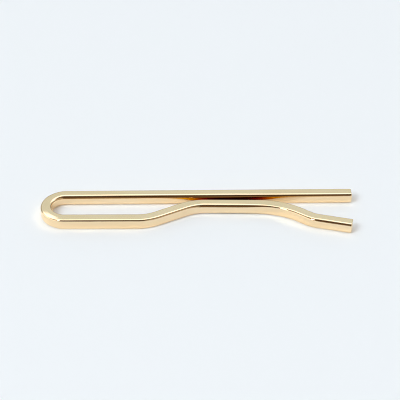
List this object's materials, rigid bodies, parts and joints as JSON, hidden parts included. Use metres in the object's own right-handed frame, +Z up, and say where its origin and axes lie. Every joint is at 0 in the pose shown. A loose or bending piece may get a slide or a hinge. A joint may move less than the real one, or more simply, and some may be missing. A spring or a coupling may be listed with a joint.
{
  "type": "tie clip",
  "caption": "One-piece spring tie clip bent from square polished gold wire: straight front bar, round bow, spring leg with grip and flared tip.",
  "frame": {"origin": "under the middle of the clip's outline, on the plane that it lies on", "axes": "+X along the front bar from the bow to the open ends, +Y from the spring leg to the outer face of the front bar, +Z up, square to the plane that the wire is bent in"},
  "size_m": [0.057, 0.011, 0.002],
  "materials": {
    "gold_wire": "polished pale yellow gold"
  },
  "bodies": {
    "bar": {"front_bar": "gold_wire", "bow": "gold_wire"},
    "leg": {"spring_leg": "gold_wire"}
  },
  "joints": [
    {"name": "leg_spring", "type": "hinge", "parent": "bar", "child": "leg", "pos_m": [-0.024, 0.00098, 0.001], "axis": [0, 0, -1], "range_deg": [-1.6, 6], "stiffness_Nm_per_rad": 4.2, "deforming": ["bow"]}
  ]
}
